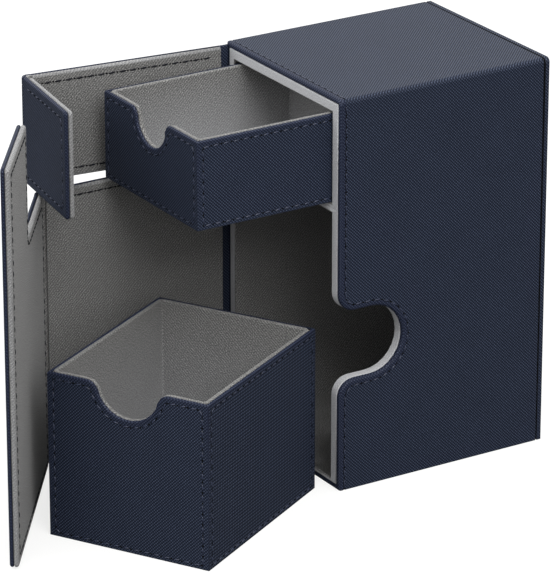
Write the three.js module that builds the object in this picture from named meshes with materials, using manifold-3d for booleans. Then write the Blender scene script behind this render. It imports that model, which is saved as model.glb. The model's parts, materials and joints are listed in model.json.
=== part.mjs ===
// Card storage box, standing open: a leather-covered case with a dice drawer over a card tray,
// and two doors that wrap round the front and the right side. Millimetres, Z up.
// The origin is on the case's underside, midway along its carcass. The case opens towards -Y, and
// both doors hinge on its left front edge.
import * as THREE from "three";
import { mergeVertices } from "three/addons/utils/BufferGeometryUtils.js";
import Module from "manifold-3d";

const wasm = await Module();
wasm.setup();

// Case
const caseWidth = 70;
const caseDepth = 80;
const caseHeight = 136;
const caseWall = 5.2;
const caseFloor = 3.2;
const caseSkin = 0.8;
const caseRim = 1.8;
const caseCorner = 1.2;
const caseEdge = 0.9;
const backCover = 1;
const shelfDrop = 38;
const shelfThickness = 3.2;

// Thumb notch in the front edge of the case's right wall
const notchLevel = 51;
const notchRadius = 12;
const notchDepth = 24.6;
const notchLip = 6;

// Doors and their closing flaps
const panelThickness = 3;
const panelSkin = 0.6;
const panelCorner = 1.2;
const panelEdge = 0.4;
const panelLeatherShare = 0.46;
const doorGap = 0.3;
const doorMargin = 0.8;
const doorSeam = 1;
const foldClearance = 0.3;
const flapSplit = 37;
const flapEndMargin = 1.2;
const upperDoorSplay = 8.08;
const upperFlapBendAngle = 88.3;
const lowerDoorSplay = 0.245;

// Magnets, which hold the flaps against the right wall
const magnetRadius = 5;
const magnetPocketClearance = 0.15;
const upperMagnetInset = 11;
const rearMagnetInset = 18;
const lowerMagnetLevel = 24;

// Drawer and tray
const trayWall = 2.6;
const traySkin = 0.6;
const trayFloor = 2;
const trayCorner = 1.2;
const trayEdge = 0.4;
const trayLeatherShare = 0.4;
const traySideClearance = 0.6;
const trayEndClearance = 2.8;
const drawerHeadroom = 0.9;
const drawerLift = 0.3;
const drawerPulled = 49.8;
const drawerScoop = { radius: 9.3, depth: 10.7, lip: 3 };
const cardTrayHeight = 57;
const cardTrayScoop = { radius: 11.5, depth: 11.2, lip: 4 };
const cardTrayTurnAngle = 30;
const cardTrayFrontGap = 5.1;
const cardTrayDoorGap = 9.95;
const cardTrayFlapGap = 6.6;

// Glue line between two layers, and the overrun of a cutting solid
const glueLine = 0.1;
const overrun = 5;

// Facets of a quarter circle
const lipFacets = 5;
const scoopFacets = 9;
const cornerFacets = 3;
const foldFacets = 4;
const magnetFacets = 6;
const edgeFacets = 2;

const leather = { color: 0x2c3142, roughness: 0.55, metalness: 0 };
const lining = { color: 0x8f8f8c, roughness: 0.95, metalness: 0 };
const greyBoard = { color: 0xa9a294, roughness: 0.9, metalness: 0 };
const magnetSteel = { color: 0xc3c7cb, roughness: 0.3, metalness: 1 };

const radians = THREE.MathUtils.degToRad;
const degrees = THREE.MathUtils.radToDeg;
const quarterTurn = 90;
const halfTurn = 180;
const fullTurn = 360;

// Unit vectors along a turned line and square to it, to its left
const lengthwise = (turn) => new THREE.Vector2(Math.cos(turn), Math.sin(turn));
const crosswise = (turn) => new THREE.Vector2(-Math.sin(turn), Math.cos(turn));

// Points of an arc from one angle to another, in degrees
function arc(x, y, radius, from, to, quarterFacets) {
  const steps = Math.max(1, Math.round((Math.abs(to - from) / quarterTurn) * quarterFacets));
  const points = [];
  for (let i = 0; i <= steps; i++) {
    const turn = radians(from + ((to - from) * i) / steps);
    points.push(new THREE.Vector2(x + radius * Math.cos(turn), y + radius * Math.sin(turn)));
  }
  return points;
}

// A polygon of square corners, drawn inwards by an inset and with its corners rounded.
// Outer corners lose the inset from their radius, and inner corners gain it.
function outline(corners, radius, inset) {
  const points = [];
  const count = corners.length;
  corners.forEach(([x, y], i) => {
    const [beforeX, beforeY] = corners[(i + count - 1) % count];
    const [afterX, afterY] = corners[(i + 1) % count];
    const arriving = new THREE.Vector2(x - beforeX, y - beforeY).normalize();
    const leaving = new THREE.Vector2(afterX - x, afterY - y).normalize();
    const isOuter = arriving.cross(leaving) > 0;
    const side = isOuter ? 1 : -1;
    const rounding = Math.max(radius - side * inset, 0);
    const away = side * rounding + inset;
    const centreX = x + away * (leaving.x - arriving.x) * side;
    const centreY = y + away * (leaving.y - arriving.y) * side;
    const start = degrees(Math.atan2(-arriving.x * side, arriving.y * side));
    const finish = start + quarterTurn * side;
    points.push(...arc(centreX, centreY, rounding, start, finish, cornerFacets));
  });
  return points;
}

// The mouth of a round finger scoop whose shoulders flow into the rim, as the region above the
// cut edge. Across is measured from the scoop's middle and up from the rim. An inset moves the
// edge into the wall.
function scoopMouth({ radius, depth, lip }, inset) {
  const sunk = depth - radius;
  const straight = sunk > lip;
  const shoulder = straight ? radius + lip : Math.sqrt((radius + lip) ** 2 - (lip - sunk) ** 2);
  const meeting = straight ? 0 : degrees(Math.atan2(lip - sunk, shoulder));
  return [
    ...arc(-shoulder, -lip, lip - inset, quarterTurn, meeting, lipFacets),
    ...arc(0, -sunk, radius + inset, halfTurn + meeting, fullTurn - meeting, scoopFacets),
    ...arc(shoulder, -lip, lip - inset, halfTurn - meeting, quarterTurn, lipFacets),
    new THREE.Vector2(shoulder, overrun),
    new THREE.Vector2(-shoulder, overrun),
  ];
}

// Axes that carry a drawn outline and its extrusion into the model
const extrusionAxes = {
  x: new THREE.Matrix4().makeBasis(
    new THREE.Vector3(0, 1, 0),
    new THREE.Vector3(0, 0, 1),
    new THREE.Vector3(1, 0, 0),
  ),
  y: new THREE.Matrix4().makeBasis(
    new THREE.Vector3(-1, 0, 0),
    new THREE.Vector3(0, 0, 1),
    new THREE.Vector3(0, 1, 0),
  ),
  z: new THREE.Matrix4(),
};

function solid(geometry) {
  geometry.deleteAttribute("normal");
  geometry.deleteAttribute("uv");
  const merged = mergeVertices(geometry);
  const mesh = new wasm.Mesh({
    numProp: 3,
    vertProperties: merged.attributes.position.array,
    triVerts: new Uint32Array(merged.index.array),
  });
  return new wasm.Manifold(mesh);
}

// An outline extruded along an axis, its two ends rounded over by an edge radius.
// Along y the outline is drawn in x and z, along x in y and z.
function prism(points, axis, from, to, edge = 0) {
  const drawn = axis === "y" ? points.map((p) => new THREE.Vector2(-p.x, p.y)) : points;
  const geometry = new THREE.ExtrudeGeometry(new THREE.Shape(drawn), {
    depth: to - from - 2 * edge,
    bevelEnabled: edge > 0,
    bevelThickness: edge,
    bevelSize: edge,
    bevelOffset: -edge,
    bevelSegments: edgeFacets,
  });
  geometry.translate(0, 0, from + edge);
  return solid(geometry.applyMatrix4(extrusionAxes[axis]));
}

function box([x0, x1], [y0, y1], [z0, z1]) {
  const geometry = new THREE.BoxGeometry(x1 - x0, y1 - y0, z1 - z0);
  return solid(geometry.translate((x0 + x1) / 2, (y0 + y1) / 2, (z0 + z1) / 2));
}

function rectangle([x0, x1], [y0, y1]) {
  return [
    [x0, y0],
    [x1, y0],
    [x1, y1],
    [x0, y1],
  ];
}

// A span drawn in at both ends
function shrink([low, high], by) {
  return [low + by, high - by];
}

function place(group, name, finish, body) {
  const { vertProperties, triVerts, numProp } = body.getMesh();
  const positions = new THREE.BufferAttribute(new Float32Array(vertProperties), numProp);
  const geometry = new THREE.BufferGeometry().setAttribute("position", positions);
  geometry.setIndex(new THREE.BufferAttribute(new Uint32Array(triVerts), 1));
  const flat = geometry.toNonIndexed();
  flat.computeVertexNormals();
  const mesh = new THREE.Mesh(flat, new THREE.MeshStandardMaterial(finish));
  mesh.name = name;
  group.add(mesh);
}

// A disc across the thickness of a board
function disc(axis, [across, up], radius, span) {
  return prism(arc(across, up, radius, 0, fullTurn, magnetFacets).slice(1), axis, ...span);
}

// Levels and spans that the pieces share, from the case's left front lower corner
const shelfLevel = caseHeight - shelfDrop;
const upperFloorLevel = shelfLevel + shelfThickness / 2;
const lowerCeilingLevel = shelfLevel - shelfThickness / 2;
// The covered panel on the back stands behind the carcass.
const outsideDepth = caseDepth + backCover;
const insideWidth = [caseWall, caseWidth - caseWall];
const insideDepth = [-overrun, caseDepth - caseWall];
const lowerInside = [caseFloor, lowerCeilingLevel];
const upperInside = [upperFloorLevel, caseHeight - caseWall];
const upperDoorSpan = [shelfLevel + doorSeam / 2, caseHeight - doorMargin];
const lowerDoorSpan = [doorMargin, shelfLevel - doorSeam / 2];
const trayWidth = caseWidth - 2 * caseWall - 2 * traySideClearance;
const trayDepth = caseDepth - caseWall - trayEndClearance;
const drawerHeight = caseHeight - caseWall - drawerHeadroom - upperFloorLevel - drawerLift;
const upperMagnetLevel = (upperDoorSpan[0] + upperDoorSpan[1]) / 2;
const upperMagnetReach = flapSplit - upperMagnetInset;
const lowerMagnetReach = caseDepth - rearMagnetInset;
const wallMagnets = [
  { name: "upper", reach: upperMagnetReach, level: upperMagnetLevel },
  { name: "lower", reach: lowerMagnetReach, level: lowerMagnetLevel },
  { name: "back", reach: lowerMagnetReach, level: upperMagnetLevel },
];

// The notch's mouth, turned so that its rim is the wall's front edge
function notchCut(inset, [x0, x1]) {
  const scoop = { radius: notchRadius, depth: notchDepth, lip: notchLip };
  const points = scoopMouth(scoop, inset).map(
    ({ x, y }) => new THREE.Vector2(-y, notchLevel + x),
  );
  return prism(points, "x", x0, x1);
}

// The leather laps the front edge and the notch by the width of its rim.
function caseLeather() {
  const face = outline(rectangle([0, caseWidth], [0, caseHeight]), caseCorner, 0);
  const acrossWall = [caseWidth - caseWall - overrun, caseWidth + overrun];
  const frontSpace = [0, notchDepth + overrun];
  const notchRim = notchCut(caseSkin, [caseWidth - caseRim, caseWidth - caseSkin / 2]).intersect(
    box(acrossWall, frontSpace, [0, caseHeight]),
  );
  return prism(face, "y", -caseEdge, outsideDepth, caseEdge)
    .subtract(box([-overrun, caseWidth + overrun], [-overrun, 0], [-overrun, caseHeight + overrun]))
    .subtract(
      box(
        shrink([0, caseWidth], caseSkin),
        [caseSkin, outsideDepth - caseSkin],
        shrink([0, caseHeight], caseSkin),
      ),
    )
    .subtract(
      box(
        shrink([0, caseWidth], caseRim),
        [-overrun, caseSkin + overrun],
        shrink([0, caseHeight], caseRim),
      ),
    )
    .add(notchRim)
    .subtract(notchCut(0, acrossWall));
}

// The grey boards inside the case's walls. The side boards stand between top and bottom.
function addCaseBoards(group) {
  const layer = caseSkin + glueLine;
  const across = shrink([0, caseWidth], layer);
  const along = shrink([0, outsideDepth], layer);
  const upright = [caseFloor - caseSkin, caseHeight - caseWall + caseSkin];
  const between = [caseWall - caseSkin, caseWidth - caseWall + caseSkin];
  const backStart = caseDepth - caseWall + caseSkin;
  const leftSpan = [layer, caseWall - layer];
  const rightSpan = [caseWidth - caseWall + layer, caseWidth - layer];
  place(group, "case_bottom_board", greyBoard, box(across, along, [layer, caseFloor - layer]));
  place(
    group,
    "case_top_board",
    greyBoard,
    box(across, along, [caseHeight - caseWall + layer, caseHeight - layer]),
  );
  place(group, "case_left_board", greyBoard, box(leftSpan, along, upright));
  place(
    group,
    "case_back_board",
    greyBoard,
    box(between, [backStart + glueLine, outsideDepth - layer], upright),
  );
  place(
    group,
    "shelf_board",
    greyBoard,
    box(
      between,
      [layer, backStart],
      [lowerCeilingLevel + layer, upperFloorLevel - layer],
    ),
  );
  let rightBoard = box(rightSpan, along, upright).subtract(
    notchCut(layer, [rightSpan[0] - overrun, rightSpan[1] + overrun]),
  );
  for (const { name, reach, level } of wallMagnets) {
    const pocket = [rightSpan[0] - overrun, rightSpan[1] + overrun];
    const pocketRadius = magnetRadius + magnetPocketClearance;
    rightBoard = rightBoard.subtract(disc("x", [reach, level], pocketRadius, pocket));
    place(
      group,
      "wall_magnet_" + name,
      magnetSteel,
      disc("x", [reach, level], magnetRadius, rightSpan),
    );
  }
  place(group, "case_right_board", greyBoard, rightBoard);
}

// A compartment's lining: a shell round the hollow and a flange over the boards' front edges
function compartmentLining(inside, flange) {
  const shell = box(
    shrink(insideWidth, -caseSkin),
    [0, insideDepth[1] + caseSkin],
    shrink(inside, -caseSkin),
  );
  const front = box(shrink([0, caseWidth], caseRim + glueLine), [0, caseSkin], flange);
  return shell.add(front).subtract(box(insideWidth, insideDepth, inside));
}

function lowerLining() {
  const wallInside = caseWidth - caseWall;
  const collarSpan = [wallInside, caseWidth - caseRim - glueLine];
  const frontSpace = [0, notchDepth + overrun];
  const collar = notchCut(caseSkin, collarSpan).intersect(
    box(collarSpan, frontSpace, lowerInside),
  );
  return compartmentLining(lowerInside, [caseRim + glueLine, shelfLevel - glueLine / 2])
    .add(collar)
    .subtract(notchCut(0, [wallInside - overrun, caseWidth + overrun]));
}

function addCase(group) {
  place(group, "case_leather", leather, caseLeather());
  addCaseBoards(group);
  const upperFlange = [shelfLevel + glueLine / 2, caseHeight - caseRim - glueLine];
  place(group, "upper_compartment_lining", lining, compartmentLining(upperInside, upperFlange));
  place(group, "lower_compartment_lining", lining, lowerLining());
}

// A door or flap panel: a leather half and a lining half, folded round one board and meeting
// at a seam on the panel's edge. It is drawn in x and z, and its leather faces -Y.
function addPanel(group, name, corners, magnets = []) {
  const faces = [-panelThickness / 2, panelThickness / 2];
  const seam = faces[0] + panelLeatherShare * panelThickness;
  const body = prism(outline(corners, panelCorner, 0), "y", ...faces, panelEdge);
  const core = prism(outline(corners, panelCorner, panelSkin), "y", ...shrink(faces, panelSkin));
  const shell = body.subtract(core);
  const reach = [-overrun, caseWidth + caseDepth + caseHeight];
  const leatherHalf = box(reach, [faces[0] - overrun, seam - glueLine / 2], reach);
  const liningHalf = box(reach, [seam + glueLine / 2, faces[1] + overrun], reach);
  place(group, name + "_leather", leather, shell.intersect(leatherHalf));
  place(group, name + "_lining", lining, shell.intersect(liningHalf));

  const layer = panelSkin + glueLine;
  const boardSpan = shrink(faces, layer);
  let board = prism(outline(corners, panelCorner, layer), "y", ...boardSpan);
  for (const magnet of magnets) {
    const pocketRadius = magnetRadius + magnetPocketClearance;
    const centre = [magnet.reach, magnet.level];
    board = board.subtract(disc("y", centre, pocketRadius, shrink(boardSpan, -overrun)));
    place(group, magnet.name, magnetSteel, disc("y", centre, magnetRadius, boardSpan));
  }
  place(group, name + "_board", greyBoard, board);
}

// The rolled fold that a panel turns on, round its pivot line
function addFold(group, name, [z0, z1]) {
  const ring = arc(0, 0, panelThickness / 2, 0, fullTurn, foldFacets).slice(1);
  place(group, name, leather, prism(ring, "z", z0, z1));
}

// Distances along a door or a flap, from the fold that carries it
const foldReach = panelThickness / 2 + foldClearance;
const doorLength = caseWidth + doorGap;
const panelInset = doorGap + panelThickness / 2;

// How far a door is turned open when its free end stands a splay past the hinge edge
const openedBy = (splay) => quarterTurn + degrees(Math.asin(splay / doorLength));
const upperDoorOpened = openedBy(upperDoorSplay);
const lowerDoorOpened = openedBy(lowerDoorSplay);
const doorPivot = new THREE.Vector2(panelThickness / 2, -panelInset);

// The card tray stands turned in front of the case. Its rear right corner keeps one gap to the
// case's front, and its rear left corner keeps another to the lower door's inner face.
function cardTrayFrontCorner() {
  const turn = radians(cardTrayTurnAngle);
  const rearLeft = crosswise(turn).multiplyScalar(trayDepth);
  const inward = crosswise(radians(-lowerDoorOpened));
  const y = -cardTrayFrontGap - trayWidth * lengthwise(turn).y - rearLeft.y;
  const fromPivot = panelThickness / 2 + cardTrayDoorGap;
  const rearLeftX = doorPivot.x + (fromPivot - inward.y * (y + rearLeft.y - doorPivot.y)) / inward.x;
  return new THREE.Vector2(rearLeftX - rearLeft.x, y);
}

// The lower flap's bend leaves its inner face a gap from the tray's front left corner.
function lowerFlapBend() {
  const flapPivot = lengthwise(radians(-lowerDoorOpened)).multiplyScalar(doorLength).add(doorPivot);
  const toTray = cardTrayFrontCorner().sub(flapPivot);
  const clearing = Math.asin((cardTrayFlapGap + panelThickness / 2) / toTray.length());
  return degrees(Math.atan2(toTray.y, toTray.x) - clearing) + lowerDoorOpened;
}

// A group that turns about a fold, by an angle in degrees
function hingeGroup(parent, [x, y], turn) {
  const group = new THREE.Group();
  group.position.set(x, y, 0);
  group.rotation.z = radians(turn);
  parent.add(group);
  return group;
}

function addUpperDoor(corner) {
  const door = hingeGroup(corner, doorPivot, -upperDoorOpened);
  const doorFace = rectangle([foldReach, doorLength - foldReach], upperDoorSpan);
  addPanel(door, "upper_door", doorFace);
  addFold(door, "upper_door_fold", upperDoorSpan);

  const flap = hingeGroup(door, [doorLength, 0], upperFlapBendAngle);
  const flapEnd = flapSplit - doorSeam / 2 + panelInset;
  const magnet = {
    name: "upper_flap_magnet",
    reach: upperMagnetReach + panelInset,
    level: upperMagnetLevel,
  };
  addPanel(flap, "upper_flap", rectangle([foldReach, flapEnd], upperDoorSpan), [magnet]);
  addFold(flap, "upper_flap_fold", upperDoorSpan);
}

function addLowerDoor(corner) {
  const door = hingeGroup(corner, doorPivot, -lowerDoorOpened);
  const doorFace = rectangle([foldReach, doorLength - foldReach], lowerDoorSpan);
  addPanel(door, "lower_door", doorFace);
  addFold(door, "lower_door_fold", lowerDoorSpan);

  // The flap's strip at the back rises past the upper flap to the full height.
  const flap = hingeGroup(door, [doorLength, 0], lowerFlapBend());
  const flapEnd = caseDepth - flapEndMargin + panelInset;
  const stripStart = flapSplit + doorSeam / 2 + panelInset;
  const [low, step] = lowerDoorSpan;
  const high = upperDoorSpan[1];
  const corners = [
    [foldReach, low],
    [flapEnd, low],
    [flapEnd, high],
    [stripStart, high],
    [stripStart, step],
    [foldReach, step],
  ];
  const reach = lowerMagnetReach + panelInset;
  addPanel(flap, "lower_flap", corners, [
    { name: "lower_flap_magnet", reach, level: lowerMagnetLevel },
    { name: "lower_flap_strip_magnet", reach, level: upperMagnetLevel },
  ]);
  addFold(flap, "lower_flap_fold", lowerDoorSpan);
}

// An open tray with a finger scoop in its front wall. Leather and lining each fold over their
// half of the rim and meet there at a seam, round five boards.
function addTray(group, name, height, scoop) {
  const across = [0, trayWidth];
  const along = [0, trayDepth];
  const above = height + overrun;
  const layer = traySkin + glueLine;
  const boardInside = trayWall - traySkin;
  const rimSeam = trayLeatherShare * trayWall;
  const frontSpan = [-overrun, trayWall + overrun];
  const scoopCut = (inset) => {
    const points = scoopMouth(scoop, inset).map(
      ({ x, y }) => new THREE.Vector2(trayWidth / 2 + x, height + y),
    );
    return prism(points, "y", ...frontSpan);
  };
  const well = (inset, [z0, z1]) => box(shrink(across, inset), shrink(along, inset), [z0, z1]);

  const boardSpace = well(traySkin, [traySkin, height - traySkin])
    .subtract(well(boardInside, [trayFloor - traySkin, above]))
    .subtract(scoopCut(traySkin));
  const outside = prism(outline(rectangle(across, along), trayCorner, 0), "z", 0, height, trayEdge);
  const leatherShell = outside
    .subtract(well(rimSeam - glueLine / 2, [traySkin, above]))
    .subtract(boardSpace)
    .subtract(scoopCut(0));
  place(group, name + "_leather", leather, leatherShell);

  const liningShell = well(rimSeam + glueLine / 2, [trayFloor - traySkin, height])
    .subtract(well(trayWall, [trayFloor, above]))
    .subtract(boardSpace)
    .subtract(scoopCut(0));
  place(group, name + "_lining", lining, liningShell);

  const upright = [layer, height - layer];
  const boardDepth = [layer, trayWall - layer];
  const frontBoard = box(shrink(across, layer), boardDepth, upright).subtract(scoopCut(layer));
  place(group, name + "_front_board", greyBoard, frontBoard);
  const backDepth = [trayDepth - trayWall + layer, trayDepth - layer];
  place(group, name + "_back_board", greyBoard, box(shrink(across, layer), backDepth, upright));
  const sideRun = shrink(along, boardInside);
  place(group, name + "_left_board", greyBoard, box(boardDepth, sideRun, upright));
  const rightSpan = [trayWidth - trayWall + layer, trayWidth - layer];
  place(group, name + "_right_board", greyBoard, box(rightSpan, sideRun, upright));
  const floorBoard = well(boardInside, [layer, trayFloor - layer]);
  place(group, name + "_floor_board", greyBoard, floorBoard);
}

function addDrawer(corner) {
  const drawer = new THREE.Group();
  drawer.position.set(caseWall + traySideClearance, -drawerPulled, upperFloorLevel + drawerLift);
  addTray(drawer, "drawer", drawerHeight, drawerScoop);
  corner.add(drawer);
}

function addCardTray(corner) {
  const tray = new THREE.Group();
  addTray(tray, "card_tray", cardTrayHeight, cardTrayScoop);
  const { x, y } = cardTrayFrontCorner();
  tray.position.set(x, y, 0);
  tray.rotation.z = radians(cardTrayTurnAngle);
  corner.add(tray);
}

const cardBox = new THREE.Group();
const corner = new THREE.Group();
corner.position.set(-caseWidth / 2, -caseDepth / 2, 0);
cardBox.add(corner);
addCase(corner);
addUpperDoor(corner);
addLowerDoor(corner);
addDrawer(corner);
addCardTray(corner);

export default cardBox;
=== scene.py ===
import json
import math
from itertools import groupby

import bmesh
import bpy
from bpy.props import FloatProperty, FloatVectorProperty, PointerProperty
from mathutils import Matrix, Vector
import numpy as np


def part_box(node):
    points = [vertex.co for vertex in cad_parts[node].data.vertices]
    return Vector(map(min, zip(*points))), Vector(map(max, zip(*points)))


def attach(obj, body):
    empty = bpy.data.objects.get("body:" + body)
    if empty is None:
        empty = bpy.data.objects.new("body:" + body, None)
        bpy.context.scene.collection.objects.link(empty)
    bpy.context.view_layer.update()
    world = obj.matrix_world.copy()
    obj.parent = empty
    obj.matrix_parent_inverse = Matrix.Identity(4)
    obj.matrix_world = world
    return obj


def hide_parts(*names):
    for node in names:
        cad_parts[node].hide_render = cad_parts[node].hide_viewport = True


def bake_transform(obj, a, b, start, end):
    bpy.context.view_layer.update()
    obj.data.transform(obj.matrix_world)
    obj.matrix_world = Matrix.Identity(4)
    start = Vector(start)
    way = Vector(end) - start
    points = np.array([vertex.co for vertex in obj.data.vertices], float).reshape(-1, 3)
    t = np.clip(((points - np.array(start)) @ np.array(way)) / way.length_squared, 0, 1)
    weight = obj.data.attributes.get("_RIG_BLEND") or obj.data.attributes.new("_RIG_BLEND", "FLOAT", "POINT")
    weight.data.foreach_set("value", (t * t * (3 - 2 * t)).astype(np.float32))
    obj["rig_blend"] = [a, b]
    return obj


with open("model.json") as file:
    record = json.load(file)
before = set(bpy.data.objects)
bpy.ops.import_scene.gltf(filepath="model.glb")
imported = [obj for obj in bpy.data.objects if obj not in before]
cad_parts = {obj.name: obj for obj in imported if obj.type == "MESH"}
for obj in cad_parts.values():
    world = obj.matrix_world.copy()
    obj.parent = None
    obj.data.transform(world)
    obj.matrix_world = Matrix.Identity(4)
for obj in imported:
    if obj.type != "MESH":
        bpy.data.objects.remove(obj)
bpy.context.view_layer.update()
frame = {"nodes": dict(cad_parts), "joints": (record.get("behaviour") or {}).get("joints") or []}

bl_info = {
    "name": "Card Storage Box",
    "version": (1, 0, 0),
    "blender": (4, 5, 0),
    "location": "3D View > Sidebar > Card Box",
    "description": "Leather, lining and stitching for an open card storage box",
    "category": "Object",
}

MM = 0.001

# Camera, fitted to the corners and edges of the box in the photograph
CAMERA_PLACE = Vector((1.13724, -0.75074, 0.59911))
CAMERA_AZIMUTH = math.radians(58.10)
CAMERA_PITCH = math.radians(21.88)
CAMERA_LENS = 274.78


def linear(hex_colour):
    """An sRGB hex colour as linear red, green, blue."""
    parts = [int(hex_colour[i : i + 2], 16) / 255 for i in (1, 3, 5)]
    return [c / 12.92 if c <= 0.04045 else ((c + 0.055) / 1.055) ** 2.4 for c in parts]


def length(name, millimetres, description):
    size = millimetres * MM
    return FloatProperty(
        name=name, description=description, default=size, min=0, unit="LENGTH", precision=5
    )


def colour(name, hex_colour, description):
    shade = linear(hex_colour)
    return FloatVectorProperty(
        name=name, description=description, default=shade, min=0, max=1, subtype="COLOR"
    )


def power(name, watts, description):
    return FloatProperty(name=name, description=description, default=watts, min=0, unit="POWER")


class CaseSizes(bpy.types.PropertyGroup):
    wall: length("Wall", 5.2, "Thickness of the side and top walls")
    floor: length("Floor", 3.2, "Thickness of the bottom")
    shelf: length("Shelf", 3.2, "Thickness of the shelf")
    rim: length("Leather rim", 1.8, "Width of the leather round the opening")
    corner: length("Top edge radius", 1.6, "Rounding from the top to the right side")
    crease: length("Crease radius", 0.6, "Rounding of the other outer edges")
    back_cover: length("Back cover", 1.7, "Thickness of the back's covered panel")
    back_seam: length("Back seam", 0.5, "Width and depth of the seam before it")
    hem: length("Hem", 2.2, "From the opening to the stitch line")
    notch_radius: length("Notch radius", 12, "Radius of the thumb notch")
    notch_depth: length("Notch depth", 24.6, "Depth from the front edge")
    notch_lip: length("Notch shoulder", 6, "Radius of the shoulders")
    notch_level: length("Notch level", 51, "Height of the middle")


class PanelSizes(bpy.types.PropertyGroup):
    thickness: length("Thickness", 3, "Thickness of a door or flap")
    leather: length("Leather half", 1.38, "Part of the thickness that the leather covers")
    corner: length("Corner radius", 1.4, "Rounding of a panel's corners")
    hem: length("Hem", 3, "From a panel's edge to the stitch line")
    fold_reach: length("Fold reach", 1.8, "From a fold's pivot to either board")
    upper_flap_end: length("Upper flap width", 38.3, "From its pivot to its free edge")
    strip_start: length("Strip start", 39.3, "From the lower flap's pivot to its strip")
    lower_flap_end: length("Lower flap width", 80.6, "From its pivot to its free edge")


class TraySizes(bpy.types.PropertyGroup):
    wall: length("Wall", 2.6, "Thickness of both trays' walls")
    floor: length("Floor", 2, "Thickness of both trays' floors")
    leather: length("Leather half", 1.04, "Part of the rim that the leather covers")
    corner: length("Corner radius", 0.8, "Rounding of the outer edges")
    hem: length("Hem", 2.2, "From a wall's edges to the stitch line")
    foot_hem: length("Foot hem", 1.4, "From a wall's foot to the stitch line")
    drawer_radius: length("Drawer scoop radius", 9.3, "Radius of the finger scoop")
    drawer_depth: length("Drawer scoop depth", 10.7, "Depth of the finger scoop")
    drawer_lip: length("Drawer scoop shoulder", 3, "Radius of the shoulders")
    card_tray_radius: length("Tray scoop radius", 11.5, "Radius of the finger scoop")
    card_tray_depth: length("Tray scoop depth", 11.2, "Depth of the finger scoop")
    card_tray_lip: length("Tray scoop shoulder", 4, "Radius of the shoulders")


class StitchSizes(bpy.types.PropertyGroup):
    pitch: length("Pitch", 3.7, "Distance from one stitch to the next")
    stitch: length("Stitch", 2.6, "Length of a stitch")
    thread: length("Thread", 0.58, "Width of the thread")
    bobbin: length("Bobbin thread", 0.8, "Width of the thread on the lining")
    # The strip under a stitch is painted shade: a flat dark bead for the thread's shadow
    painted_stitch_shade: length("Stitch shade", 1.0, "Width of the furrow under a stitch")
    hole: length("Needle hole", 0.85, "Width of a needle hole")
    valley: length("Valley", 0.12, "Depth of the valley along a stitch line")
    groove: length("Groove", 0.35, "Half the width of that valley")
    slant: FloatProperty(
        name="Slant", description="Angle to its line", default=math.radians(7), subtype="ANGLE"
    )


class Finishes(bpy.types.PropertyGroup):
    leather_crest: colour("Leather", "#454f65", "Crests of the leather's ribs")
    leather_valley: colour("Leather valleys", "#151924", "Valleys between the leather's ribs")
    leather_hem: colour("Leather hems", "#1a1d33", "Leather pressed flat in hems")
    lining_crest: colour("Lining", "#949391", "Crests of the lining's twill")
    lining_valley: colour("Lining valleys", "#3a3a3a", "Valleys of the lining's twill")
    # Lighter lining on rims and edges: partly stretched cloth, partly painted highlight
    lining_rim_and_highlight: colour("Lining rims", "#b0b1b4", "Lining stretched over edges")
    thread: colour("Thread", "#333b55", "Sewing thread on the leather")
    # Darker than the thread on the leather: partly bobbin thread, partly painted shade of lining stitches
    bobbin: colour("Bobbin thread", "#101218", "Sewing thread on the lining")
    board: colour("Board", "#a39d92", "Grey board inside the walls")
    magnet: colour("Magnet", "#c9ccd0", "Nickel plating of the magnets")
    rib_pitch: length("Rib pitch", 0.775, "Distance between the leather's ribs")
    twill_pitch: length("Twill pitch", 0.86, "Distance between the lining's twill lines")


class StageSettings(bpy.types.PropertyGroup):
    floor: colour("Floor", "#fafaf9", "The plain floor")
    top_light: power("Top light", 3, "Power of the light above")
    side_light: power("Side light", 10, "Power of the light at the right")
    rear_light: power("Rear light", 3.8, "Power of the light behind, for sheen")
    ambient: FloatProperty(
        name="Surroundings", description="Strength of the light from overhead", default=2.05, min=0
    )


def chosen(group):
    """What the user has chosen in a group."""
    return getattr(bpy.context.scene, "card_box_" + group)


# Mesh helpers

# Steps of an arc to a quarter turn, and segments of the roundings and folds
ARC_STEPS = 7
CORNER_SEGMENTS = 5
RIM_SEGMENTS = 4
INNER_SEGMENTS = 3
FOLD_SLICES = 9

# Rim tone of leather pressed flat in hems, and of lining over edges: stretch and painted highlight
PRESSED = 1.0
STRETCHED = 0.3

SKIN_THICKNESS = 0.3 * MM
LINING_SPACE = 0.9 * MM
RIM_DROP = 0.7 * MM
SEAM = 0.1 * MM
CLOSE = 0.5 * MM
SAME_PLACE = 1e-7
SHARP_ANGLE = math.radians(20)


def joint_of(body):
    return next(j for j in frame["joints"] if j["child"] == body)


def verts_of(parts):
    return {vert for part in parts for vert in part.verts}


def arc(x, y, radius, start, end):
    """Points of an arc between two angles in degrees."""
    steps = max(2, round(abs(end - start) / 90 * ARC_STEPS))
    turns = [math.radians(start + (end - start) * i / steps) for i in range(steps + 1)]
    return [(x + radius * math.cos(t), y + radius * math.sin(t)) for t in turns]


def scoop(radius, depth, lip):
    """A finger scoop's edge from its left shoulder to its right, from the middle of the rim."""
    sunk = depth - radius
    short = max(lip - sunk, 0)
    shoulder = math.sqrt((radius + lip) ** 2 - short**2)
    meeting = math.degrees(math.atan2(short, shoulder))
    left = arc(-shoulder, -lip, lip, 90, meeting)
    hollow = arc(0, -sunk, radius, 180 + meeting, 360 - meeting)
    right = arc(shoulder, -lip, lip, 180 - meeting, 90)
    shared = int(sunk <= lip)
    return left + hollow[shared:] + right[shared:]


def new_surface():
    """An empty mesh whose surface can take wear and painted highlight."""
    bm = bmesh.new()
    bm.verts.layers.float.new("wear")
    return bm


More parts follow.
